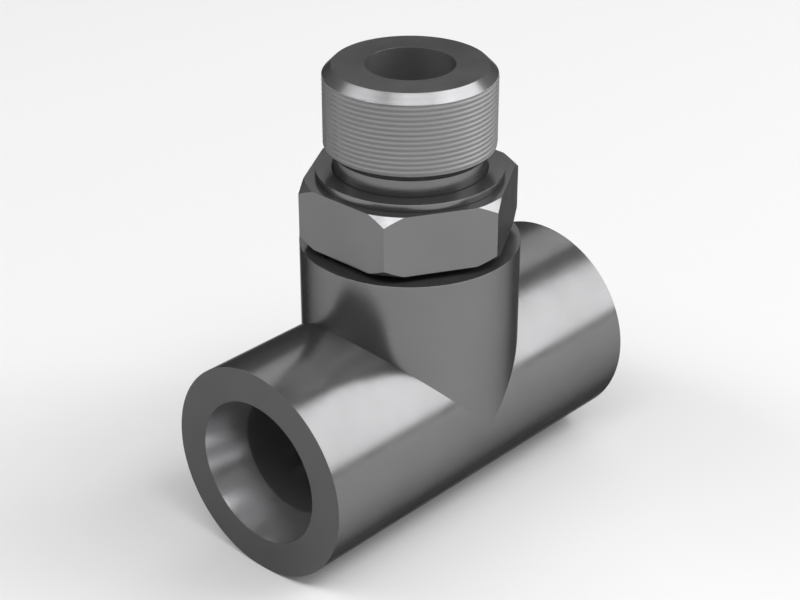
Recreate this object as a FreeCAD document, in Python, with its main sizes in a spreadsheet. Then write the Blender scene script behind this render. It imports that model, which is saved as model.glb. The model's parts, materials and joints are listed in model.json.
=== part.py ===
import FreeCAD, Part
import os
import Sketcher

# A steel tee for hydraulic pipework. Millimetres, +Z up the branch, +X along the run, and the origin
# where the two axes cross. The run has a coned socket at each end. The branch carries a threaded stud
# with a lock nut and a backup washer, both at rest just above the branch.

DRIVING_SIZES = [
    ("RunDiameter", 67.5, "outside of the run"),
    ("RunLength", 133, "from one end face of the run to the other"),
    ("RunBore", 38.4, "straight bore of the run"),
    ("SocketMouth", 45.8, "diameter of a coned socket at the end face"),
    ("SocketAngle", 15, "half angle of the socket's cone, in degrees"),
    ("BranchDiameter", 67.5, "outside of the branch"),
    ("BranchHeight", 54, "from the run's axis to the branch face"),
    ("StudBore", 26.8, "passage down the stud and into the run"),
    ("StudThread", 52, "major diameter of both threads on the stud"),
    ("ReliefDiameter", 49.4, "relief between the branch face and the lower thread"),
    ("ReliefLength", 2, "straight part of that relief"),
    ("NeckDiameter", 46.4, "neck that the seal and the backup washer sit on"),
    ("SealWidth", 5.1, "bare neck between the backup washer and the upper thread"),
    ("ThreadLength", 27.1, "upper thread with both of its chamfers"),
    ("ThreadChamfer", 2.7, "chamfer at the stud's free end, at 45 degrees"),
    ("NutAcrossFlats", 60, "hexagon of the lock nut"),
    ("NutHeight", 19, "lock nut from face to face"),
    ("NutChamfer", 2.6, "depth of the 45 degree chamfer at the hexagon's corners"),
    ("NutCountersink", 1.2, "45 degree countersink at each end of the nut's bore"),
    ("NutLift", 2.5, "gap between the branch face and the nut at rest"),
    ("NutPlay", 0.3, "clearance between the stud's thread and the nut's bore, on the radius"),
    ("WasherDiameter", 57, "outside of the backup washer"),
    ("WasherThickness", 2.2, "backup washer from face to face"),
    ("WasherPlay", 0.3, "clearance between the neck and the washer's bore, on the radius"),
    ("WasherGap", 0.1, "clearance between the nut and the washer"),
    ("NeckRunout", 0.5, "neck left below the washer when the nut is wound down to the branch"),
]

# Each place is a radius, a height or a distance from the origin, worked out from the driving sizes.
# The nut's and the washer's own profiles start at their lower faces.
PLACES = [
    ("RunRadius", "Sizes.RunDiameter / 2"),
    ("RunEnd", "Sizes.RunLength / 2"),
    ("RunBoreRadius", "Sizes.RunBore / 2"),
    ("SocketRadius", "Sizes.SocketMouth / 2"),
    ("SocketBottom", "RunEnd - (SocketRadius - RunBoreRadius) / tan(Sizes.SocketAngle * 1 deg)"),
    ("BranchRadius", "Sizes.BranchDiameter / 2"),
    ("BranchFace", "Sizes.BranchHeight * 1"),
    ("StudBoreRadius", "Sizes.StudBore / 2"),
    ("ThreadRadius", "Sizes.StudThread / 2"),
    ("ReliefRadius", "Sizes.ReliefDiameter / 2"),
    ("NeckRadius", "Sizes.NeckDiameter / 2"),
    ("ReliefTop", "BranchFace + Sizes.ReliefLength"),
    ("LowerThreadBase", "ReliefTop + ThreadRadius - ReliefRadius"),
    ("NutBase", "BranchFace + Sizes.NutLift"),
    ("NutTop", "NutBase + Sizes.NutHeight"),
    ("WasherBase", "NutTop + Sizes.WasherGap"),
    ("WasherTop", "WasherBase + Sizes.WasherThickness"),
    ("NeckBase", "NutTop - Sizes.NutLift - Sizes.NeckRunout"),
    ("LowerThreadTop", "NeckBase - ThreadRadius + NeckRadius"),
    ("NeckTop", "WasherTop + Sizes.SealWidth"),
    ("UpperThreadBase", "NeckTop + ThreadRadius - NeckRadius"),
    ("StudTop", "NeckTop + Sizes.ThreadLength"),
    ("UpperThreadTop", "StudTop - Sizes.ThreadChamfer"),
    ("StudTopRadius", "ThreadRadius - Sizes.ThreadChamfer"),
    ("NutFlat", "Sizes.NutAcrossFlats / 2"),
    ("NutCorner", "Sizes.NutAcrossFlats / sqrt(3)"),
    ("NutHalfSide", "NutCorner / 2"),
    ("NutFullHeight", "Sizes.NutHeight * 1"),
    ("NutFaceRadius", "NutCorner - Sizes.NutChamfer"),
    ("NutClearOfCorner", "NutCorner + Sizes.NutChamfer"),
    ("NutLowerCut", "2 * Sizes.NutChamfer"),
    ("NutUpperCut", "NutFullHeight - 2 * Sizes.NutChamfer"),
    ("NutBoreRadius", "ThreadRadius + Sizes.NutPlay"),
    ("NutMouthRadius", "NutBoreRadius + Sizes.NutCountersink"),
    ("NutLowerMouth", "Sizes.NutCountersink * 1"),
    ("NutUpperMouth", "NutFullHeight - Sizes.NutCountersink"),
    ("WasherRadius", "Sizes.WasherDiameter / 2"),
    ("WasherBoreRadius", "NeckRadius + Sizes.WasherPlay"),
    ("WasherHeight", "Sizes.WasherThickness * 1"),
]

FULL_TURN = 360


def fill_sheet(name, rows):
    """A sheet with one aliased cell in each row, and a note beside it where the row has one."""
    sheet = doc.addObject("Spreadsheet::Sheet", name)
    for number, (alias, content, *note) in enumerate(rows, start=1):
        sheet.set(f"A{number}", alias)
        sheet.set(f"B{number}", str(content))
        sheet.setAlias(f"B{number}", alias)
        if note:
            sheet.set(f"C{number}", note[0])
    return sheet


def new_body(name):
    body = doc.addObject("PartDesign::Body", name)
    body.Label = name
    return body


def pin_corner(sketch, corner, direction, place):
    """Ties a corner's distance from the origin, in one direction, to a place. 0 is on the axis."""
    if place == "0":
        axis = -2 if direction == "DistanceX" else -1
        sketch.addConstraint(Sketcher.Constraint("PointOnObject", corner, 1, axis))
        return
    alias = place.lstrip("-")
    ends = (corner, 1, -1, 1) if place.startswith("-") else (-1, 1, corner, 1)
    index = sketch.addConstraint(Sketcher.Constraint(direction, *ends, distance_to(alias)))
    label = f"{alias}{direction[-1]}{corner}"
    sketch.renameConstraint(index, label)
    sketch.setExpression(f"Constraints.{label}", f"Places.{alias}")


def distance_to(alias):
    return float(places.get(alias))


def coordinate(place):
    if place == "0":
        return 0.0
    return -distance_to(place[1:]) if place.startswith("-") else distance_to(place)


def draw_profiles(body, name, plane_role, *profiles):
    """A sketch of closed outlines on one of the body's own origin planes, with every corner pinned."""
    sketch = body.newObject("Sketcher::SketchObject", name)
    plane = next(item for item in body.Origin.OriginFeatures if item.Role == plane_role)
    sketch.AttachmentSupport = (plane, [""])
    sketch.MapMode = "FlatFace"
    first = 0
    for corners in profiles:
        points = [FreeCAD.Vector(coordinate(across), coordinate(along), 0) for across, along in corners]
        for start, end in zip(points, points[1:] + points[:1]):
            sketch.addGeometry(Part.LineSegment(start, end), False)
        for step, (across, along) in enumerate(corners):
            following = first + (step + 1) % len(corners)
            sketch.addConstraint(Sketcher.Constraint("Coincident", first + step, 2, following, 1))
            pin_corner(sketch, first + step, "DistanceX", across)
            pin_corner(sketch, first + step, "DistanceY", along)
        first += len(corners)
    return sketch


def turn(body, kind, name, sketch, axis):
    """A full turn of the sketch about its own axis: Revolution adds, Groove takes away."""
    feature = body.newObject(f"PartDesign::{kind}", name)
    feature.Profile = sketch
    feature.ReferenceAxis = (sketch, [axis])
    feature.Angle = FULL_TURN
    sketch.Visibility = False
    return feature


def make_tee_body():
    body = new_body("tee_body")
    run = draw_profiles(body, "RunProfile", "XZ_Plane", [
        ("-RunEnd", "0"), ("-RunEnd", "RunRadius"), ("RunEnd", "RunRadius"), ("RunEnd", "0")])
    turn(body, "Revolution", "Run", run, "H_Axis")

    # From the run's axis up the outside of the branch, the relief, the lower thread, the neck and the
    # upper thread to the stud's free end.
    stud = draw_profiles(body, "BranchProfile", "XZ_Plane", [
        ("0", "0"), ("BranchRadius", "0"), ("BranchRadius", "BranchFace"),
        ("ReliefRadius", "BranchFace"), ("ReliefRadius", "ReliefTop"),
        ("ThreadRadius", "LowerThreadBase"), ("ThreadRadius", "LowerThreadTop"),
        ("NeckRadius", "NeckBase"), ("NeckRadius", "NeckTop"),
        ("ThreadRadius", "UpperThreadBase"), ("ThreadRadius", "UpperThreadTop"),
        ("StudTopRadius", "StudTop"), ("0", "StudTop")])
    turn(body, "Revolution", "BranchAndStud", stud, "V_Axis")

    # Both sockets and the bore between them are one cut, cone to cone.
    bore = draw_profiles(body, "RunBoreProfile", "XZ_Plane", [
        ("-RunEnd", "0"), ("-RunEnd", "SocketRadius"), ("-SocketBottom", "RunBoreRadius"),
        ("SocketBottom", "RunBoreRadius"), ("RunEnd", "SocketRadius"), ("RunEnd", "0")])
    turn(body, "Groove", "RunBoreAndSockets", bore, "H_Axis")

    passage = draw_profiles(body, "StudBoreProfile", "XZ_Plane", [
        ("0", "0"), ("StudBoreRadius", "0"), ("StudBoreRadius", "StudTop"), ("0", "StudTop")])
    turn(body, "Groove", "StudPassage", passage, "V_Axis")
    return body


def make_lock_nut():
    body = new_body("lock_nut")
    hexagon = draw_profiles(body, "Hexagon", "XY_Plane", [
        ("NutFlat", "-NutHalfSide"), ("NutFlat", "NutHalfSide"), ("0", "NutCorner"),
        ("-NutFlat", "NutHalfSide"), ("-NutFlat", "-NutHalfSide"), ("0", "-NutCorner")])
    blank = body.newObject("PartDesign::Pad", "HexagonBlank")
    blank.Profile = hexagon
    blank.setExpression("Length", "Sizes.NutHeight")
    hexagon.Visibility = False

    # The two triangles are turned about the nut's axis and take off the corners, so each flat ends in
    # the curved edge that a chamfering tool leaves.
    corners = draw_profiles(
        body, "CornerChamfers", "XZ_Plane",
        [("NutFaceRadius", "0"), ("NutClearOfCorner", "0"), ("NutClearOfCorner", "NutLowerCut")],
        [("NutFaceRadius", "NutFullHeight"), ("NutClearOfCorner", "NutUpperCut"),
         ("NutClearOfCorner", "NutFullHeight")])
    turn(body, "Groove", "ChamferedCorners", corners, "V_Axis")

    bore = draw_profiles(body, "NutBoreProfile", "XZ_Plane", [
        ("0", "0"), ("NutMouthRadius", "0"), ("NutBoreRadius", "NutLowerMouth"),
        ("NutBoreRadius", "NutUpperMouth"), ("NutMouthRadius", "NutFullHeight"), ("0", "NutFullHeight")])
    turn(body, "Groove", "NutBore", bore, "V_Axis")
    body.setExpression("Placement.Base.z", "Places.NutBase")
    return body


def make_backup_washer():
    body = new_body("backup_washer")
    ring = draw_profiles(body, "WasherProfile", "XZ_Plane", [
        ("WasherBoreRadius", "0"), ("WasherRadius", "0"),
        ("WasherRadius", "WasherHeight"), ("WasherBoreRadius", "WasherHeight")])
    turn(body, "Revolution", "Ring", ring, "V_Axis")
    body.setExpression("Placement.Base.z", "Places.WasherBase")
    return body


def check_document():
    for item in doc.Objects:
        if "Invalid" in item.State or "Error" in item.State:
            raise RuntimeError(f"{item.Name} is {item.State}")


def export(body):
    shape = body.Shape
    if shape.isNull() or not shape.isValid() or len(shape.Solids) != 1:
        raise RuntimeError(f"{body.Label} is not one valid solid")
    shape.exportStep(f"parts/{body.Label}.step")
    print(body.Label, "volume", round(shape.Volume, 1), "mm3, box", shape.BoundBox)


os.makedirs("parts", exist_ok=True)
doc = FreeCAD.newDocument("TeeAdapter")
fill_sheet("Sizes", DRIVING_SIZES)
places = fill_sheet("Places", [(alias, "=" + formula) for alias, formula in PLACES])
doc.recompute()

bodies = [make_tee_body(), make_lock_nut(), make_backup_washer()]
doc.recompute()
check_document()
for body in bodies:
    export(body)
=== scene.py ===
import json
import math

import bmesh
import bpy
from bpy.props import FloatProperty, FloatVectorProperty, IntProperty, PointerProperty
from bpy.types import Operator, Panel, PropertyGroup
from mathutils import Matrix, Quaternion, Vector


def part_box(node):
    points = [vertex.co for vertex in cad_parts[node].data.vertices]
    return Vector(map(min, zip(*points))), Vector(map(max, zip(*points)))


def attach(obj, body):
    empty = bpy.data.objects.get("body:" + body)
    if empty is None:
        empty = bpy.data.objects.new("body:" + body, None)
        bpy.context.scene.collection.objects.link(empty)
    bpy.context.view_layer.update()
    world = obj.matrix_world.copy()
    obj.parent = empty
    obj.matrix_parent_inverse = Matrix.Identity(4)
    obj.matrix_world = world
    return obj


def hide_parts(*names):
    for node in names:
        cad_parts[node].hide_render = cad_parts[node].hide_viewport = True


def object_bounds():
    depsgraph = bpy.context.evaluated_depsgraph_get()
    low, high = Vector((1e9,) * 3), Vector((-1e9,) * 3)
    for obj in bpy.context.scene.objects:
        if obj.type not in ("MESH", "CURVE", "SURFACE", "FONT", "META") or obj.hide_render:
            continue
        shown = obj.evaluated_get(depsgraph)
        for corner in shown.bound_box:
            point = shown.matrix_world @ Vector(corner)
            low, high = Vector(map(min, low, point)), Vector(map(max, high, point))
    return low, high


# The looks of a steel tee for hydraulic pipework: the turned body with its threaded stud, the lock nut
# and the backup washer. Metres, +Z up the stud, +X along the run.

bl_info = {
    "name": "Steel tee",
    "version": (1, 0, 0),
    "blender": (4, 5, 0),
    "location": "View3D > Sidebar > Steel tee",
    "description": "Builds a steel tee with a threaded stud, its lock nut and its backup washer",
    "category": "Add Mesh",
}

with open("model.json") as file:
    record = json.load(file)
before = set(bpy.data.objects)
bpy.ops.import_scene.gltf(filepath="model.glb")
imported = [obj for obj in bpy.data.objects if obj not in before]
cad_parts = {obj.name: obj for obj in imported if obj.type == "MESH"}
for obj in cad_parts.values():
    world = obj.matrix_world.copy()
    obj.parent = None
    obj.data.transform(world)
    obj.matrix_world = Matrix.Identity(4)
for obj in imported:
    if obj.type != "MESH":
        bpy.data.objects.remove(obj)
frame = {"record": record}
CAD_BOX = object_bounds()
BODY_LOW, BODY_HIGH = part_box("tee_body")
NUT_LOW, NUT_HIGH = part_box("lock_nut")
WASHER_LOW, WASHER_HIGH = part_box("backup_washer")
MOUNT_SIZES = {mount["name"]: mount["dims"] for mount in frame["record"]["mounts"]}

MM = 0.001
FULL_TURN = math.tau
# Columns of faces round every turned surface, a multiple of both 4 and 6.
COLUMNS = 192
SEAM_TOLERANCE = 0.002 * MM
CREASE_ANGLE = math.radians(20)
# How far the patch round the hole in the run's bore reaches along it, in radii of the hole.
BORE_PATCH_REACH = 1.25
MARK_DEPTH = 0.05 * MM
# Nearly all of a noise texture lies between these two values.
NOISE_LOW, NOISE_HIGH = 0.3, 0.7
FLOOR_REACH = 6.0
LAMP_DISTANCE = 3.2
CAMERA_PLACE = (-0.377289, -0.344738, 0.305486)
CAMERA_AIM = (0.64732, 0.59852, -0.47196)


def mount_size(name, size):
    """One size of a mount, in metres: r_mm or length_mm."""
    return MOUNT_SIZES[name][size] * MM


def length_property(name, value, description):
    return FloatProperty(
        name=name, description=description, default=value, min=0.0, precision=5,
        unit="LENGTH", subtype="DISTANCE")


class BodySettings(PropertyGroup):
    """Sizes of the tee's body."""

    run_radius: length_property("Run radius", -BODY_LOW.z, "Outside of the run and of the branch")
    run_end: length_property("Run end", BODY_HIGH.x, "From the middle of the run to its end face")
    run_bore: length_property("Run bore", mount_size("run_bore", "r_mm"), "Radius of the run's bore")
    socket_radius: length_property(
        "Socket radius", mount_size("socket_left", "r_mm"), "Cone's radius at the end face")
    socket_depth: length_property(
        "Socket depth", mount_size("socket_left", "length_mm"), "Cone's depth from the end face")
    branch_height: length_property("Branch height", 54 * MM, "From the run's axis to the branch face")
    relief_radius: length_property("Relief radius", 24.7 * MM, "Relief at the foot of the stud")
    relief_length: length_property("Relief length", 2 * MM, "Straight part of the relief")
    neck_radius: length_property("Neck radius", 23.2 * MM, "Neck between the two threads")
    neck_base: length_property("Neck base", 72.5 * MM, "Height where the lower thread's run-out ends")
    neck_top: length_property("Neck top", 82.9 * MM, "Height where the upper thread's run-out starts")
    stud_bore: length_property("Stud bore", mount_size("stud_bore", "r_mm"), "Radius of the passage")
    stud_top: length_property("Stud top", BODY_HIGH.z, "Height of the stud's free end")
    stud_chamfer: length_property("Stud chamfer", 2.7 * MM, "45 degree chamfer at the free end")
    edge_break: length_property("Edge break", 0.025 * MM, "Small chamfer on each turned edge")


class ThreadSettings(PropertyGroup):
    """Sizes of the thread that the stud and the lock nut share."""

    radius: length_property("Radius", mount_size("stud_thread", "r_mm"), "Major radius of the stud")
    pitch: length_property("Pitch", 1.5 * MM, "Rise of one turn")
    depth: length_property("Depth", 0.22 * MM, "From crest to root")
    clearance: length_property("Clearance", 0.12 * MM, "Room between the stud's thread and the nut's")
    crest_share: FloatProperty(
        name="Crest share", description="Part of the pitch that the crest takes",
        default=0.25, min=0.0, max=0.5, subtype="FACTOR")
    root_share: FloatProperty(
        name="Root share", description="Part of the pitch that the root takes",
        default=0.25, min=0.0, max=0.5, subtype="FACTOR")
    rows: IntProperty(
        name="Rows", description="Rows of faces in one pitch", default=8, min=4, max=32)


class NutSettings(PropertyGroup):
    """Sizes of the lock nut."""

    flat: length_property("Flat", NUT_HIGH.x, "From the axis to a flat")
    base: length_property("Base", NUT_LOW.z, "Height of the lower face")
    top: length_property("Top", NUT_HIGH.z, "Height of the upper face")
    chamfer: length_property("Chamfer", 2.6 * MM, "Depth of the chamfer at the corners")
    mouth: length_property("Mouth", 27.5 * MM, "Countersink's radius at both faces")


class WasherSettings(PropertyGroup):
    """Sizes of the backup washer."""

    radius: length_property("Radius", WASHER_HIGH.x, "Outside of the ring")
    bore: length_property("Bore", 23.5 * MM, "Inside of the ring")
    base: length_property("Base", WASHER_LOW.z, "Height of the lower face")
    top: length_property("Top", WASHER_HIGH.z, "Height of the upper face")
    edge_break: length_property("Edge break", 0.025 * MM, "Small chamfer on each edge")


class SteelSettings(PropertyGroup):
    """The satin dark steel that all three pieces share."""

    colour: FloatVectorProperty(
        name="Colour", description="Reflected colour of the clean steel", size=3, min=0.0, max=1.0,
        default=(0.222, 0.222, 0.226), subtype="COLOR")
    patch_colour: FloatVectorProperty(
        name="Patch colour", description="Reflected colour in the duller patches", size=3, min=0.0,
        max=1.0, default=(0.202, 0.202, 0.205), subtype="COLOR")
    metallic: FloatProperty(
        name="Bare metal", description="Share of the surface that reflects as bare metal",
        default=0.82, min=0.0, max=1.0, subtype="FACTOR")
    roughness_low: FloatProperty(
        name="Smoothest", description="Roughness of the smoothest patches", default=0.19, min=0.0,
        max=1.0, subtype="FACTOR")
    roughness_high: FloatProperty(
        name="Roughest", description="Roughness of the dullest patches", default=0.25, min=0.0,
        max=1.0, subtype="FACTOR")
    grazing: FloatProperty(
        name="Grazing share", description="Reflection that is left where the surface is seen edge on",
        default=0.04, min=0.0, max=1.0, subtype="FACTOR")
    # Painted light: the run's deep bore gets a lighter copy of the steel colour, standing in for light
    # that reaches into it.
    bore_painted_light: FloatProperty(
        name="Bore brightness", description="How much brighter the deep bore of the run is",
        default=1.5, min=1.0, max=4.0)
    # Painted light: the sockets and the stud's bore get a lighter copy of the steel colour, standing in
    # for light inside them.
    socket_painted_light: FloatProperty(
        name="Socket brightness", description="How much brighter the sockets and the stud's bore are",
        default=2.0, min=1.0, max=4.0)
    # Painted highlight: the chamfers get a lighter copy of the steel colour, which brightens the
    # highlights on them.
    chamfer_painted_highlight: FloatProperty(
        name="Chamfer brightness", description="How much brighter the chamfers are", default=1.25,
        min=1.0, max=4.0)
    # Painted shade: the run's end faces get a darker copy of the steel colour, standing in for the
    # darker surroundings they reflect.
    end_painted_shade: FloatProperty(
        name="End face brightness", description="How bright the run's sawn end faces are",
        default=0.66, min=0.1, max=4.0)
    # Painted light: the thread gets a lighter copy of the steel colour, standing in for light.
    thread_painted_light: FloatProperty(
        name="Thread brightness", description="How much brighter the cut thread is",
        default=1.5, min=1.0, max=4.0)
    thread_roughness: FloatProperty(
        name="Thread dullness", description="Roughness that the cut thread has on top of the rest",
        default=0.35, min=0.0, max=0.7, subtype="FACTOR")
    marks: FloatProperty(
        name="Tool marks", description="Strength of the lathe's fine lines and of the satin grain",
        default=0.16, min=0.0, max=1.0, subtype="FACTOR")


class StageSettings(PropertyGroup):
    """Floor, light and camera."""

    floor_colour: FloatVectorProperty(
        name="Floor colour", description="Colour of the pale floor", size=3, min=0.0, max=1.0,
        default=(0.87, 0.87, 0.87), subtype="COLOR")
    room_grey: FloatProperty(
        name="Room grey", description="Even light of the room", default=0.19, min=0.0, max=1.0)
    lens: FloatProperty(
        name="Lens", description="Focal length on a 36 mm sensor, in millimetres", default=83.95,
        min=10.0, unit="CAMERA")


class SteelTeeSettings(PropertyGroup):
    """Everything that the panel shows."""

    body: PointerProperty(type=BodySettings)
    thread: PointerProperty(type=ThreadSettings)
    nut: PointerProperty(type=NutSettings)
    washer: PointerProperty(type=WasherSettings)
    steel: PointerProperty(type=SteelSettings)
    stage: PointerProperty(type=StageSettings)


def column_angle(column):
    return FULL_TURN * column / COLUMNS


def about_z(radius, angle, height):
    return Vector((radius * math.cos(angle), radius * math.sin(angle), height))


def about_x(radius, angle, place):
    """A point on a circle round the run, where angle 0 is at the top."""
    return Vector((place, radius * math.sin(angle), radius * math.cos(angle)))


def add_loop(bm, point_at):
    """One closed loop of new vertices. point_at gives the place of each column."""
    return [bm.verts.new(point_at(column)) for column in range(COLUMNS)]


def add_ring(bm, radius, height):
    return add_loop(bm, lambda column: about_z(radius, column_angle(column), height))


def skin(bm, first, second):
    """Faces between two closed loops. Where the two share a vertex, the face is a triangle."""
    for column, corner in enumerate(first):
        following = (column + 1) % len(first)
        corners = [corner, first[following], second[following], second[column]]
        different = list(dict.fromkeys(corners))
        if len(different) > 2:
            bm.faces.new(different)


def skin_between(bm, first, second, rows):
    """Faces between two loops with evenly spaced loops in between."""
    last = first
    for row in range(1, rows):
        share = row / rows
        loop = [bm.verts.new(a.co.lerp(b.co, share)) for a, b in zip(first, second)]
        skin(bm, last, loop)
        last = loop
    skin(bm, last, second)


def skin_loops(bm, *loops):
    for first, second in zip(loops, loops[1:]):
        skin(bm, first, second)


def paint_new_faces(bm, old_count, slot):
    """Gives one material slot to the faces that were added since the mesh had old_count of them."""
    for face in list(bm.faces)[old_count:]:
        face.material_index = slot


def finish_mesh(bm, name, materials, threads=()):
    """A closed, outward mesh with its creases marked, as an object at the origin.

    The thread meshes become part of it. An edge is sharp where the material changes, too, the lighter
    and darker painted copies of the steel among them.
    """
    for mesh in threads:
        old_count = len(bm.faces)
        bm.from_mesh(mesh)
        for face in list(bm.faces)[old_count:]:
            face.material_index = materials.index(mesh.materials[face.material_index])
        bpy.data.meshes.remove(mesh)
    bmesh.ops.remove_doubles(bm, verts=bm.verts, dist=SEAM_TOLERANCE)
    bmesh.ops.dissolve_degenerate(bm, edges=bm.edges, dist=SEAM_TOLERANCE)
    open_edges = [edge for edge in bm.edges if len(edge.link_faces) != 2]
    if open_edges:
        raise RuntimeError(f"{name} has {len(open_edges)} open edges")
    bmesh.ops.recalc_face_normals(bm, faces=bm.faces)
    for face in bm.faces:
        face.smooth = True
    for edge in bm.edges:
        slots = {face.material_index for face in edge.link_faces}
        edge.smooth = len(slots) == 1 and edge.calc_face_angle() < CREASE_ANGLE
    mesh = bpy.data.meshes.new(name)
    bm.to_mesh(mesh)
    bm.free()
    for material in materials:
        mesh.materials.append(material)
    piece = bpy.data.objects.new(name, mesh)
    bpy.context.scene.collection.objects.link(piece)
    return piece


def math_node(tree, operation, *values):
    """A math node whose inputs are linked to sockets or set to numbers."""
    node = tree.nodes.new("ShaderNodeMath")
    node.operation = operation
    for socket, value in zip(node.inputs, values):
        if isinstance(value, bpy.types.NodeSocket):
            tree.links.new(value, socket)
        else:
            socket.default_value = value
    return node.outputs[0]


THREAD_INPUTS = [
    ("Columns", "NodeSocketInt"),
    ("Rows in a Pitch", "NodeSocketInt"),
    ("Pitch", "NodeSocketFloat"),
    ("Crest Radius", "NodeSocketFloat"),
    ("Root Radius", "NodeSocketFloat"),
    ("Crest Share", "NodeSocketFloat"),
    ("Root Share", "NodeSocketFloat"),
    ("Lower Height", "NodeSocketFloat"),
    ("Upper Height", "NodeSocketFloat"),
    ("Lower Radius", "NodeSocketFloat"),
    ("Upper Radius", "NodeSocketFloat"),
    ("Facing", "NodeSocketFloat"),
    ("Helix Offset", "NodeSocketFloat"),
    ("Material", "NodeSocketMaterial"),
    ("End Material", "NodeSocketMaterial"),
]


def build_thread_tree():
    """A grid wound round the Z axis into a right-hand thread, cut off by a 45 degree cone at each end.

    Its rows climb with the thread, so crest and root each follow a row. Facing is 1 on a stud and -1
    in a nut, where the crest points inwards.
    """
    tree = bpy.data.node_groups.new("ThreadSheet", "GeometryNodeTree")
    for name, kind in THREAD_INPUTS:
        tree.interface.new_socket(name, in_out="INPUT", socket_type=kind)
    tree.interface.new_socket("Geometry", in_out="OUTPUT", socket_type="NodeSocketGeometry")
    given = tree.nodes.new("NodeGroupInput").outputs
    link = tree.links.new

    def calculate(operation, *values):
        return math_node(tree, operation, *values)

    pitch = given["Pitch"]
    lower, upper, facing = given["Lower Height"], given["Upper Height"], given["Facing"]
    lower_turns = calculate("SUBTRACT", calculate("DIVIDE", lower, pitch), given["Helix Offset"])
    first_turn = calculate("ADD", calculate("FLOOR", lower_turns), given["Helix Offset"])
    last_turn = calculate("CEIL", calculate("DIVIDE", upper, pitch))
    turns = calculate("ADD", calculate("CEIL", calculate("SUBTRACT", last_turn, first_turn)), 1.0)

    grid = tree.nodes.new("GeometryNodeMeshGrid")
    grid.inputs["Size X"].default_value = 1.0
    grid.inputs["Size Y"].default_value = 1.0
    link(calculate("ADD", given["Columns"], 1.0), grid.inputs["Vertices X"])
    rows = calculate("MULTIPLY", turns, given["Rows in a Pitch"])
    link(calculate("ADD", rows, 1.0), grid.inputs["Vertices Y"])

    place = tree.nodes.new("ShaderNodeSeparateXYZ")
    link(tree.nodes.new("GeometryNodeInputPosition").outputs[0], place.inputs[0])
    around = calculate("ADD", place.outputs["X"], 0.5)
    climbed = calculate("MULTIPLY", calculate("ADD", place.outputs["Y"], 0.5), turns)

    turn = calculate("ADD", first_turn, calculate("SUBTRACT", calculate("ADD", climbed, around), 1.0))
    height = calculate("MINIMUM", calculate("MAXIMUM", calculate("MULTIPLY", turn, pitch), lower), upper)

    # 1 on the crest and 0 in the root, with a straight flank between them.
    from_crest = calculate("MULTIPLY", calculate("PINGPONG", climbed, 0.5), 2.0)
    profile = tree.nodes.new("ShaderNodeMapRange")
    link(from_crest, profile.inputs["Value"])
    link(given["Crest Share"], profile.inputs["From Min"])
    link(calculate("SUBTRACT", 1.0, given["Root Share"]), profile.inputs["From Max"])
    link(calculate("MULTIPLY", given["Crest Radius"], facing), profile.inputs["To Min"])
    link(calculate("MULTIPLY", given["Root Radius"], facing), profile.inputs["To Max"])

    lower_cone = calculate(
        "ADD", calculate("MULTIPLY", given["Lower Radius"], facing),
        calculate("SUBTRACT", height, lower))
    upper_cone = calculate(
        "ADD", calculate("MULTIPLY", given["Upper Radius"], facing),
        calculate("SUBTRACT", upper, height))
    cone = calculate("MINIMUM", lower_cone, upper_cone)
    radius = calculate("MULTIPLY", calculate("MINIMUM", profile.outputs["Result"], cone), facing)

    angle = calculate("MULTIPLY", around, FULL_TURN)
    point = tree.nodes.new("ShaderNodeCombineXYZ")
    link(calculate("MULTIPLY", radius, calculate("COSINE", angle)), point.inputs["X"])
    link(calculate("MULTIPLY", radius, calculate("SINE", angle)), point.inputs["Y"])
    link(height, point.inputs["Z"])

    keep = tree.nodes.new("GeometryNodeCaptureAttribute")
    keep.capture_items.new("BOOLEAN", "On Cone")
    link(grid.outputs["Mesh"], keep.inputs["Geometry"])
    link(calculate("LESS_THAN", cone, profile.outputs["Result"]), keep.inputs["On Cone"])
    wind = tree.nodes.new("GeometryNodeSetPosition")
    link(keep.outputs["Geometry"], wind.inputs["Geometry"])
    link(point.outputs[0], wind.inputs["Position"])
    seam = tree.nodes.new("GeometryNodeMergeByDistance")
    seam.inputs["Distance"].default_value = SEAM_TOLERANCE
    link(wind.outputs["Geometry"], seam.inputs["Geometry"])
    realize = tree.nodes.new("GeometryNodeRealizeInstances")
    link(seam.outputs["Geometry"], realize.inputs["Geometry"])
    finish = tree.nodes.new("GeometryNodeSetMaterial")
    link(realize.outputs["Geometry"], finish.inputs["Geometry"])
    link(given["Material"], finish.inputs["Material"])
    finish_ends = tree.nodes.new("GeometryNodeSetMaterial")
    link(finish.outputs["Geometry"], finish_ends.inputs["Geometry"])
    link(keep.outputs["On Cone"], finish_ends.inputs["Selection"])
    link(given["End Material"], finish_ends.inputs["Material"])
    link(finish_ends.outputs["Geometry"], tree.nodes.new("NodeGroupOutput").inputs["Geometry"])
    return tree


def wind_thread(settings, material, end_material, **given):
    """The plain mesh that the thread tree makes from these inputs."""
    tree = bpy.data.node_groups.get("ThreadSheet") or build_thread_tree()
    values = {
        "Columns": COLUMNS,
        "Rows in a Pitch": settings.rows,
        "Pitch": settings.pitch,
        "Crest Share": settings.crest_share,
        "Root Share": settings.root_share,
        "Material": material,
        "End Material": end_material,
    }
    for name, value in given.items():
        values[name.replace("_", " ").title()] = value
    holder = bpy.data.objects.new("Thread", bpy.data.meshes.new("Thread"))
    bpy.context.scene.collection.objects.link(holder)
    modifier = holder.modifiers.new("Thread", "NODES")
    modifier.node_group = tree
    for item in tree.interface.items_tree:
        if item.in_out == "INPUT":
            modifier[item.identifier] = values[item.name]
    evaluated = holder.evaluated_get(bpy.context.evaluated_depsgraph_get())
    mesh = bpy.data.meshes.new_from_object(evaluated)
    holder.modifiers.clear()
    bpy.data.objects.remove(holder)
    return mesh


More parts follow.
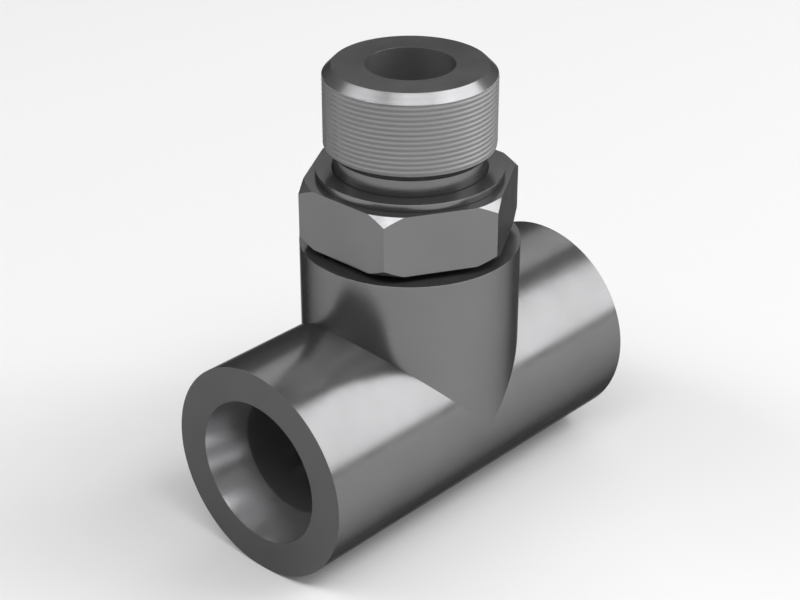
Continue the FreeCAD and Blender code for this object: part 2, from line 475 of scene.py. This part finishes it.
def add_run_end(bm, sizes, side, start, end_slot, socket_slot):
    """The run's wall from a start loop to one end, its end face and its coned socket.

    side is 1 or -1 along X. Returns the loop where the cone meets the bore.
    """
    slope = (sizes.socket_radius - sizes.run_bore) / sizes.socket_depth
    small = sizes.edge_break

    def loop(radius, inwards):
        place = side * (sizes.run_end - inwards)
        return add_loop(bm, lambda column: about_x(radius, column_angle(column), place))

    wall = loop(sizes.run_radius, small)
    skin_between(bm, start, wall, rows=12)
    face = [loop(sizes.run_radius - small, 0), loop(sizes.socket_radius + small, 0)]
    mouth = loop(sizes.socket_radius - small * slope, small)
    bottom = loop(sizes.run_bore, sizes.socket_depth)
    wall_faces = len(bm.faces)
    skin_loops(bm, wall, *face, mouth)
    # The end face gets the darker copy of the steel, a painted shade.
    paint_new_faces(bm, wall_faces, end_slot)
    end_faces = len(bm.faces)
    skin_between(bm, mouth, bottom, rows=4)
    # The socket gets the lighter copy of the steel, painted light.
    paint_new_faces(bm, end_faces, socket_slot)
    return bottom


def add_run_bore(bm, sizes, left, right, bore_slot):
    """The run's bore between its two sockets, with the round hole where the stud's passage starts.

    A patch of the bore's top, a third of a turn wide, is laid out round the hole. Returns the hole's
    loop.
    """
    old_count = len(bm.faces)
    half_patch = COLUMNS // 6
    patch_end = BORE_PATCH_REACH * sizes.stud_bore
    rows = half_patch
    bore = sizes.run_bore

    def circle(place):
        return add_loop(bm, lambda column: about_x(bore, column_angle(column), place))

    patch_right, patch_left = circle(patch_end), circle(-patch_end)
    skin_between(bm, right, patch_right, rows=6)
    skin_between(bm, left, patch_left, rows=6)

    # Columns of the bore outside the patch, from its right end to its left end.
    strips = {}
    for column in range(half_patch, COLUMNS - half_patch + 1):
        between = [
            bm.verts.new(about_x(bore, column_angle(column), patch_end * (1 - 2 * row / rows)))
            for row in range(1, rows)]
        strips[column] = [patch_right[column], *between, patch_left[column]]
    for column in range(half_patch, COLUMNS - half_patch):
        near, far = strips[column], strips[column + 1]
        for row in range(rows):
            bm.faces.new((near[row], near[row + 1], far[row + 1], far[row]))

    # The patch's own edge, in the order of the hole's columns, starting in the middle of its right side.
    first_side = patch_right[:half_patch]
    back_side = [patch_left[column] for column in range(half_patch, -half_patch, -1)]
    last_side = [patch_right[column] for column in range(-half_patch, 0)]
    edge = [
        *first_side, *strips[half_patch][:-1], *back_side,
        *reversed(strips[COLUMNS - half_patch][1:]), *last_side]

    def hole_point(column):
        place = about_z(sizes.stud_bore, column_angle(column), 0)
        place.z = math.sqrt(bore ** 2 - place.y ** 2)
        return place

    hole = add_loop(bm, hole_point)
    last, patch_rows = hole, 8
    for row in range(1, patch_rows):
        share = row / patch_rows
        loop = []
        for inner, outer in zip(hole, edge):
            angles = [math.atan2(vertex.co.y, vertex.co.z) for vertex in (inner, outer)]
            angle = angles[0] + (angles[1] - angles[0]) * share
            place = inner.co.x + (outer.co.x - inner.co.x) * share
            loop.append(bm.verts.new(about_x(bore, angle, place)))
        skin(bm, last, loop)
        last = loop
    skin(bm, last, edge)
    # The bore gets the lighter copy of the steel, painted light.
    paint_new_faces(bm, old_count, bore_slot)
    return hole


def add_crossing(bm, sizes):
    """Where the branch and the run cross: two cylinders of one radius, so they meet in two ellipses.

    Returns the branch's loop and the run's start loops to the left and right, which share vertices.
    """
    radius = sizes.run_radius
    quarter = COLUMNS // 4
    branch = add_loop(bm, lambda column: about_z(
        radius, column_angle(column), radius * abs(math.cos(column_angle(column)))))
    below = {
        column: bm.verts.new(about_x(radius, column_angle(column), 0))
        for column in range(quarter + 1, 3 * quarter)}
    right = [below.get(column) or branch[column] for column in range(COLUMNS)]
    left = [below.get(column) or branch[(2 * quarter - column) % COLUMNS] for column in range(COLUMNS)]
    return branch, left, right


def build_body(context, materials):
    """The tee's body: run, branch and threaded stud as one closed piece."""
    sizes, thread = context.scene.steel_tee.body, context.scene.steel_tee.thread
    small = sizes.edge_break
    slots = {name: slot for slot, name in enumerate(materials)}
    bm = bmesh.new()

    branch, left, right = add_crossing(bm, sizes)
    left_bottom, right_bottom = [
        add_run_end(bm, sizes, side, start, slots["run_end"], slots["socket"])
        for side, start in ((-1, left), (1, right))]
    hole = add_run_bore(bm, sizes, left_bottom, right_bottom, slots["run_bore"])

    run_faces = len(bm.faces)
    branch_rim = add_ring(bm, sizes.run_radius, sizes.branch_height - small)
    skin_between(bm, branch, branch_rim, rows=10)
    relief_top = sizes.branch_height + sizes.relief_length
    skin_loops(
        bm, branch_rim,
        add_ring(bm, sizes.run_radius - small, sizes.branch_height),
        add_ring(bm, sizes.relief_radius, sizes.branch_height),
        add_ring(bm, sizes.relief_radius, relief_top))
    skin_between(
        bm, add_ring(bm, sizes.neck_radius, sizes.neck_base),
        add_ring(bm, sizes.neck_radius, sizes.neck_top), rows=6)

    stud_top_radius = thread.radius - sizes.stud_chamfer
    bore_rim = add_ring(bm, sizes.stud_bore, sizes.stud_top - small)
    skin_loops(
        bm, add_ring(bm, stud_top_radius, sizes.stud_top),
        add_ring(bm, sizes.stud_bore + small, sizes.stud_top), bore_rim)
    paint_new_faces(bm, run_faces, slots["stud"])
    stud_faces = len(bm.faces)
    skin_between(bm, hole, bore_rim, rows=20)
    # The stud's bore gets the lighter copy of the steel, painted light.
    paint_new_faces(bm, stud_faces, slots["stud_bore"])

    root = thread.radius - thread.depth
    # The thread takes the lighter, painted-light copy of the steel, and its end cones the chamfer copy
    # with its painted highlight.
    threads = [
        wind_thread(
            thread, materials["thread"], materials["chamfer"], crest_radius=thread.radius,
            root_radius=root, facing=1.0, helix_offset=0.0, lower_height=low, upper_height=high,
            lower_radius=low_radius, upper_radius=high_radius)
        for low, low_radius, high, high_radius in (
            (relief_top, sizes.relief_radius, sizes.neck_base, sizes.neck_radius),
            (sizes.neck_top, sizes.neck_radius, sizes.stud_top, stud_top_radius))]
    return finish_mesh(bm, "TeeBody", list(materials.values()), threads)


def build_nut(context, materials):
    """The lock nut: a hexagon whose corners are turned off by a cone at both faces, with its thread."""
    sizes, thread = context.scene.steel_tee.nut, context.scene.steel_tee.thread
    slots = {name: slot for slot, name in enumerate(materials)}
    side = FULL_TURN / 6
    face_radius = sizes.flat / math.cos(side / 2) - sizes.chamfer
    bm = bmesh.new()

    def outline(column):
        from_flat = (column_angle(column) + side / 2) % side - side / 2
        return sizes.flat / math.cos(from_flat)

    def face_loop(height):
        return add_loop(bm, lambda column: about_z(
            min(outline(column), face_radius), column_angle(column), height))

    def wall_loop(height, inwards):
        return add_loop(bm, lambda column: about_z(
            outline(column), column_angle(column),
            height + inwards * max(outline(column) - face_radius, 0)))

    lower, upper = wall_loop(sizes.base, 1), wall_loop(sizes.top, -1)
    lower_face, upper_face = face_loop(sizes.base), face_loop(sizes.top)
    skin_between(bm, lower, upper, rows=6)
    skin_loops(bm, add_ring(bm, sizes.mouth, sizes.base), lower_face)
    skin_loops(bm, add_ring(bm, sizes.mouth, sizes.top), upper_face)
    paint_new_faces(bm, 0, slots["flats"])
    flat_faces = len(bm.faces)
    skin_loops(bm, lower_face, lower)
    skin_loops(bm, upper_face, upper)
    # The corner chamfers get the lighter copy of the steel, a painted highlight.
    paint_new_faces(bm, flat_faces, slots["chamfers"])
    inner_thread = wind_thread(
        thread, materials["flats"], materials["flats"],
        crest_radius=thread.radius - thread.depth + thread.clearance,
        root_radius=thread.radius + thread.clearance, facing=-1.0, helix_offset=0.5,
        lower_height=sizes.base, upper_height=sizes.top, lower_radius=sizes.mouth,
        upper_radius=sizes.mouth)
    return finish_mesh(bm, "LockNut", list(materials.values()), [inner_thread])


def build_washer(context, material):
    """The backup washer: a flat ring with its four edges broken."""
    sizes = context.scene.steel_tee.washer
    small = sizes.edge_break
    bm = bmesh.new()
    outside = [(sizes.radius, sizes.base + small), (sizes.radius, sizes.top - small)]
    above = [(sizes.radius - small, sizes.top), (sizes.bore + small, sizes.top)]
    inside = [(sizes.bore, sizes.top - small), (sizes.bore, sizes.base + small)]
    below = [(sizes.bore + small, sizes.base), (sizes.radius - small, sizes.base)]
    loops = [add_ring(bm, radius, height) for radius, height in outside + above + inside + below]
    skin_loops(bm, *loops, loops[0])
    return finish_mesh(bm, "BackupWasher", [material])


def turned_coordinates(tree, axis):
    """Object coordinates folded round an axis, so that a noise on them makes rings, as a lathe does."""
    split = tree.nodes.new("ShaderNodeSeparateXYZ")
    tree.links.new(tree.nodes.new("ShaderNodeTexCoord").outputs["Object"], split.inputs[0])
    across = [name for name in "XYZ" if name != axis]
    squares = [math_node(tree, "MULTIPLY", split.outputs[name], split.outputs[name]) for name in across]
    join = tree.nodes.new("ShaderNodeCombineXYZ")
    tree.links.new(math_node(tree, "SQRT", math_node(tree, "ADD", *squares)), join.inputs["X"])
    tree.links.new(split.outputs[axis], join.inputs["Z"])
    return join.outputs[0]


def add_noise(tree, coordinates, scale, detail):
    noise = tree.nodes.new("ShaderNodeTexNoise")
    noise.inputs["Scale"].default_value = scale
    noise.inputs["Detail"].default_value = detail
    tree.links.new(coordinates, noise.inputs["Vector"])
    return noise.outputs["Fac"]


def remap(tree, value, low, high):
    """Stretches a noise over a range."""
    node = tree.nodes.new("ShaderNodeMapRange")
    node.inputs["From Min"].default_value = NOISE_LOW
    node.inputs["From Max"].default_value = NOISE_HIGH
    node.inputs["To Min"].default_value = low
    node.inputs["To Max"].default_value = high
    tree.links.new(value, node.inputs["Value"])
    return node.outputs["Result"]


def make_steel(name, settings, axis, shade=1.0, extra_roughness=0.0):
    """Satin dark steel with a fine grain and faint rings round the axis that it was turned about."""
    material = bpy.data.materials.new(name)
    material.use_nodes = True
    tree = material.node_tree
    shader = tree.nodes["Principled BSDF"]
    shader.inputs["Metallic"].default_value = settings.metallic
    shader.inputs["Specular Tint"].default_value = (*[settings.grazing] * 3, 1)
    shader.inputs["Specular IOR Level"].default_value = 0.0
    rings = turned_coordinates(tree, axis)
    everywhere = tree.nodes.new("ShaderNodeTexCoord").outputs["Object"]

    clouds = add_noise(tree, everywhere, scale=45, detail=4)
    tint = tree.nodes.new("ShaderNodeMix")
    tint.data_type = "RGBA"
    # shade scales the steel's colour: painted light where it is above 1, painted shade where it is below
    # 1.
    tint.inputs["A"].default_value = (*[shade * part for part in settings.patch_colour], 1)
    tint.inputs["B"].default_value = (*[shade * part for part in settings.colour], 1)
    tree.links.new(remap(tree, clouds, 0, 1), tint.inputs["Factor"])
    tree.links.new(tint.outputs["Result"], shader.inputs["Base Color"])

    patches = add_noise(tree, everywhere, scale=120, detail=3)
    smoothest, dullest = [
        extra_roughness + value for value in (settings.roughness_low, settings.roughness_high)]
    tree.links.new(remap(tree, patches, smoothest, dullest), shader.inputs["Roughness"])

    bump = tree.nodes.new("ShaderNodeBump")
    bump.inputs["Strength"].default_value = settings.marks
    bump.inputs["Distance"].default_value = MARK_DEPTH
    lines = add_noise(tree, rings, scale=1500, detail=2)
    grain = add_noise(tree, everywhere, scale=2600, detail=1)
    tree.links.new(math_node(tree, "ADD", lines, grain), bump.inputs["Height"])
    tree.links.new(bump.outputs["Normal"], shader.inputs["Normal"])
    return material


def make_floor_material(colour):
    """Matt paint in one pale colour."""
    material = bpy.data.materials.new("PaleFloor")
    material.use_nodes = True
    shader = material.node_tree.nodes["Principled BSDF"]
    shader.inputs["Base Color"].default_value = (*colour, 1)
    shader.inputs["Roughness"].default_value = 0.9
    shader.inputs["Specular IOR Level"].default_value = 0.0
    return material


def add_softbox(name, azimuth, elevation, width, height, watts, roll=0):
    """A soft rectangular lamp that faces the middle of the part.

    azimuth is counted from +X towards +Y, elevation from the floor and roll about the lamp's own
    beam, all in degrees.
    """
    lamp = bpy.data.lights.new(name, "AREA")
    lamp.shape = "RECTANGLE"
    lamp.size, lamp.size_y, lamp.energy = width, height, watts
    turn, rise = math.radians(azimuth), math.radians(elevation)
    outwards = Vector((math.cos(turn) * math.cos(rise), math.sin(turn) * math.cos(rise), math.sin(rise)))
    holder = bpy.data.objects.new(name, lamp)
    holder.location = outwards * LAMP_DISTANCE
    facing = outwards.to_track_quat("Z", "Y") @ Quaternion((0, 0, 1), math.radians(roll))
    holder.rotation_euler = facing.to_euler()
    bpy.context.scene.collection.objects.link(holder)


def add_camera(lens):
    """The camera of the photograph: to the left of the near socket, looking down."""
    camera = bpy.data.cameras.new("Camera")
    camera.sensor_width = 36.0
    camera.lens = lens
    camera.clip_start, camera.clip_end = 0.01, 50.0
    holder = bpy.data.objects.new("Camera", camera)
    holder.location = CAMERA_PLACE
    holder.rotation_euler = Vector(CAMERA_AIM).to_track_quat("-Z", "Y").to_euler()
    bpy.context.scene.collection.objects.link(holder)
    bpy.context.scene.camera = holder


class STEEL_TEE_OT_body(Operator):
    """Build the tee's body with its threaded stud"""

    bl_idname = "steel_tee.body"
    bl_label = "Tee body"

    def execute(self, context):
        steel = context.scene.steel_tee.steel
        materials = {
            "run": make_steel("RunSteel", steel, "X"),
            # Painted shade: the run's end faces use a darker copy of the steel.
            "run_end": make_steel("RunEndSteelPaintedShade", steel, "X", steel.end_painted_shade),
            # Painted light: the coned sockets use a lighter copy of the steel.
            "socket": make_steel("SocketSteelPaintedLight", steel, "X", steel.socket_painted_light),
            # Painted light: the deep bore uses a lighter copy of the steel.
            "run_bore": make_steel("RunBoreSteelPaintedLight", steel, "X", steel.bore_painted_light),
            "stud": make_steel("StudSteel", steel, "Z"),
            # Painted light: the stud's bore uses a lighter copy of the steel.
            "stud_bore": make_steel("StudBoreSteelPaintedLight", steel, "Z", steel.socket_painted_light),
            # Painted highlight: the stud's chamfers use a lighter copy of the steel.
            "chamfer": make_steel("StudChamferSteelPaintedHighlight", steel, "Z", steel.chamfer_painted_highlight),
            # Painted light: the thread uses a lighter copy of the steel.
            "thread": make_steel(
                "ThreadSteelPaintedLight", steel, "Z", steel.thread_painted_light, steel.thread_roughness),
        }
        piece = build_body(context, materials)
        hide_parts("tee_body")
        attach(piece, "tee")
        return {"FINISHED"}


class STEEL_TEE_OT_nut(Operator):
    """Build the lock nut"""

    bl_idname = "steel_tee.nut"
    bl_label = "Lock nut"

    def execute(self, context):
        steel = context.scene.steel_tee.steel
        materials = {
            "flats": make_steel("NutSteel", steel, "Z"),
            # Painted highlight: the nut's corner chamfers use a lighter copy of the steel.
            "chamfers": make_steel("NutChamferSteelPaintedHighlight", steel, "Z", steel.chamfer_painted_highlight),
        }
        piece = build_nut(context, materials)
        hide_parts("lock_nut")
        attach(piece, "nut")
        return {"FINISHED"}


class STEEL_TEE_OT_washer(Operator):
    """Build the backup washer"""

    bl_idname = "steel_tee.washer"
    bl_label = "Backup washer"

    def execute(self, context):
        steel = context.scene.steel_tee.steel
        piece = build_washer(context, make_steel("WasherSteel", steel, "Z"))
        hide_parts("backup_washer")
        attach(piece, "washer")
        return {"FINISHED"}


class STEEL_TEE_OT_stage(Operator):
    """Build the floor, the lamps and the camera"""

    bl_idname = "steel_tee.stage"
    bl_label = "Stage"

    def execute(self, context):
        scene, settings = context.scene, context.scene.steel_tee.stage
        scene.view_settings.view_transform = "Standard"

        bm = bmesh.new()
        bmesh.ops.create_grid(bm, x_segments=1, y_segments=1, size=FLOOR_REACH)
        bmesh.ops.translate(bm, verts=bm.verts, vec=(0, 0, CAD_BOX[0].z))
        mesh = bpy.data.meshes.new("Floor")
        bm.to_mesh(mesh)
        bm.free()
        mesh.materials.append(make_floor_material(settings.floor_colour))
        floor = bpy.data.objects.new("Floor", mesh)
        scene.collection.objects.link(floor)

        world = bpy.data.worlds.new("Room")
        world.use_nodes = True
        grey = settings.room_grey
        world.node_tree.nodes["Background"].inputs["Color"].default_value = (grey, grey, grey, 1)
        scene.world = world

        add_softbox("KeyLight", azimuth=-43, elevation=31, width=2.1, height=3.1, watts=67)
        add_softbox("TopLight", azimuth=-87, elevation=56, width=1.8, height=0.9, watts=19.5)
        add_softbox("LeftLight", azimuth=-138, elevation=61, width=2.1, height=0.95, watts=26)
        add_softbox(
            "SideLight", azimuth=147, elevation=48, width=3.7, height=0.8, watts=36, roll=28)
        add_softbox("BackLight", azimuth=30, elevation=38, width=2.0, height=1.4, watts=10.5)
        add_camera(settings.lens)
        return {"FINISHED"}


class STEEL_TEE_PT_panel(Panel):
    """Sizes of the steel tee and a button for each piece"""

    bl_idname = "STEEL_TEE_PT_panel"
    bl_label = "Steel tee"
    bl_space_type = "VIEW_3D"
    bl_region_type = "UI"
    bl_category = "Steel tee"

    def draw(self, context):
        settings = context.scene.steel_tee
        for operator in OPERATORS:
            self.layout.operator(operator.bl_idname)
        for title in ("body", "thread", "nut", "washer", "steel", "stage"):
            box = self.layout.box()
            box.label(text=title.capitalize())
            group = getattr(settings, title)
            for name in group.__annotations__:
                box.prop(group, name)


OPERATORS = (STEEL_TEE_OT_body, STEEL_TEE_OT_nut, STEEL_TEE_OT_washer, STEEL_TEE_OT_stage)
CLASSES = (
    BodySettings, ThreadSettings, NutSettings, WasherSettings, SteelSettings, StageSettings,
    SteelTeeSettings, *OPERATORS, STEEL_TEE_PT_panel)


def register():
    for item in CLASSES:
        bpy.utils.register_class(item)
    bpy.types.Scene.steel_tee = PointerProperty(type=SteelTeeSettings)


def unregister():
    del bpy.types.Scene.steel_tee
    for item in reversed(CLASSES):
        bpy.utils.unregister_class(item)


def main():
    register()
    bpy.ops.steel_tee.body()
    bpy.ops.steel_tee.nut()
    bpy.ops.steel_tee.washer()
    bpy.ops.steel_tee.stage()


if __name__ == "__main__":
    main()
